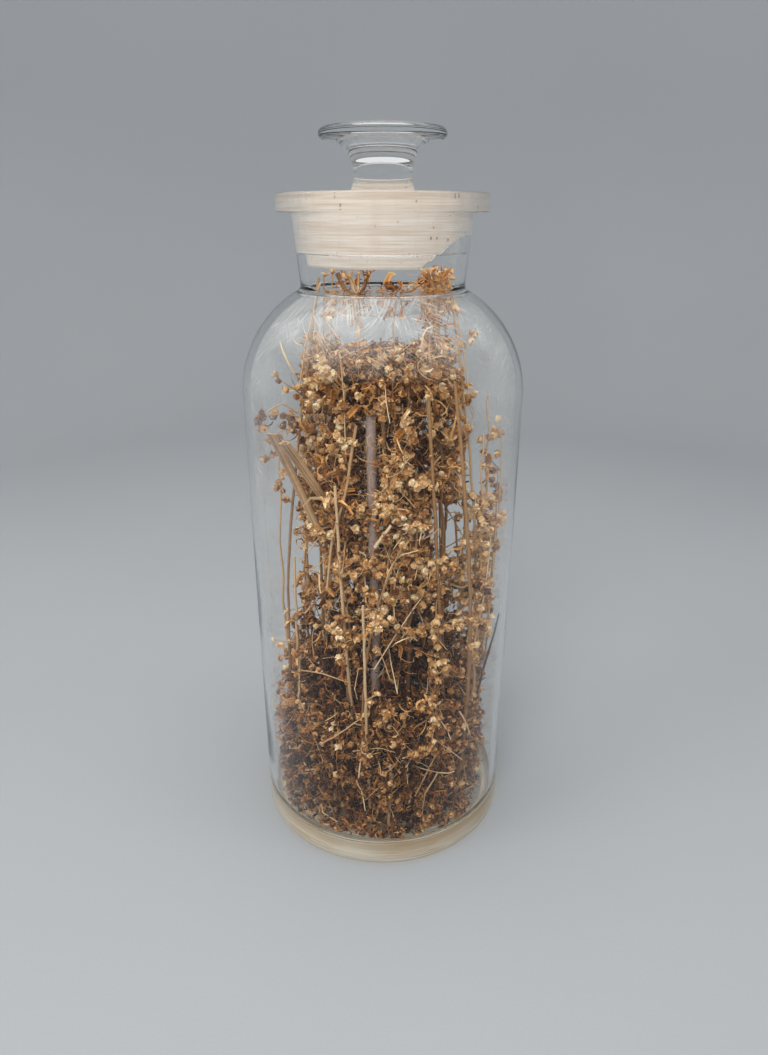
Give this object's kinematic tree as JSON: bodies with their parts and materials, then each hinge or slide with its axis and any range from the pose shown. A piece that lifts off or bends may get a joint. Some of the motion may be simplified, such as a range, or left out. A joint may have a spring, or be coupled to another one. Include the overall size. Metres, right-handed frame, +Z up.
{
  "type": "apothecary bottle",
  "caption": "Wide-mouth clear glass apothecary bottle with a ground-in disc stopper, round shoulders and flat lip, filled with dried flowering herb sprigs.",
  "frame": {"origin": "middle of the face that the bottle stands on", "axes": "+Z up along the bottle's axis, -Y towards the front of the picture, +X to its right"},
  "size_m": [0.115, 0.115, 0.3015],
  "materials": {
    "bottle_glass": "clear, with a ground band inside the neck",
    "stopper_glass": "clear knob, ground plug",
    "dried_flowers": "dry, matt",
    "dried_stalks": "dry, fibrous",
    "dark_stalks": "dry, matt"
  },
  "bodies": {
    "bottle": {"bottle": "bottle_glass", "wall_sprig_1": "dried_flowers", "wall_sprig_2": "dried_flowers", "wall_sprig_3": "dried_flowers", "wall_sprig_4": "dried_flowers", "wall_sprig_5": "dried_flowers", "wall_sprig_6": "dried_flowers", "wall_sprig_7": "dried_flowers", "wall_sprig_8": "dried_flowers", "wall_sprig_9": "dried_flowers", "wall_sprig_10": "dried_flowers", "wall_sprig_11": "dried_flowers", "wall_sprig_12": "dried_flowers", "clump_sprig_1": "dried_flowers", "clump_sprig_2": "dried_flowers", "clump_sprig_3": "dried_flowers", "clump_sprig_4": "dried_flowers", "clump_sprig_5": "dried_flowers", "clump_sprig_6": "dried_flowers", "clump_sprig_7": "dried_flowers", "clump_sprig_8": "dried_flowers", "clump_sprig_9": "dried_flowers", "neck_sprig_1": "dried_flowers", "neck_sprig_2": "dried_flowers", "neck_sprig_3": "dried_flowers", "cut_stalk_1": "dried_stalks", "cut_stalk_2": "dried_stalks", "long_stalk_1": "dried_stalks", "long_stalk_2": "dried_stalks", "long_stalk_3": "dried_stalks", "long_stalk_4": "dried_stalks", "long_stalk_5": "dried_stalks", "long_stalk_6": "dried_stalks", "long_stalk_7": "dried_stalks", "long_stalk_8": "dried_stalks", "long_stalk_9": "dried_stalks", "broad_stalk": "dark_stalks", "grass_stem": "dried_stalks", "dark_twig": "dark_stalks", "loose_heads": "dried_flowers"},
    "stopper": {"stopper": "stopper_glass"}
  },
  "joints": [
    {"name": "stopper_lift", "type": "slide", "parent": "bottle", "child": "stopper", "axis": [0, 0, 1], "range_m": [0, 0.045]}
  ]
}
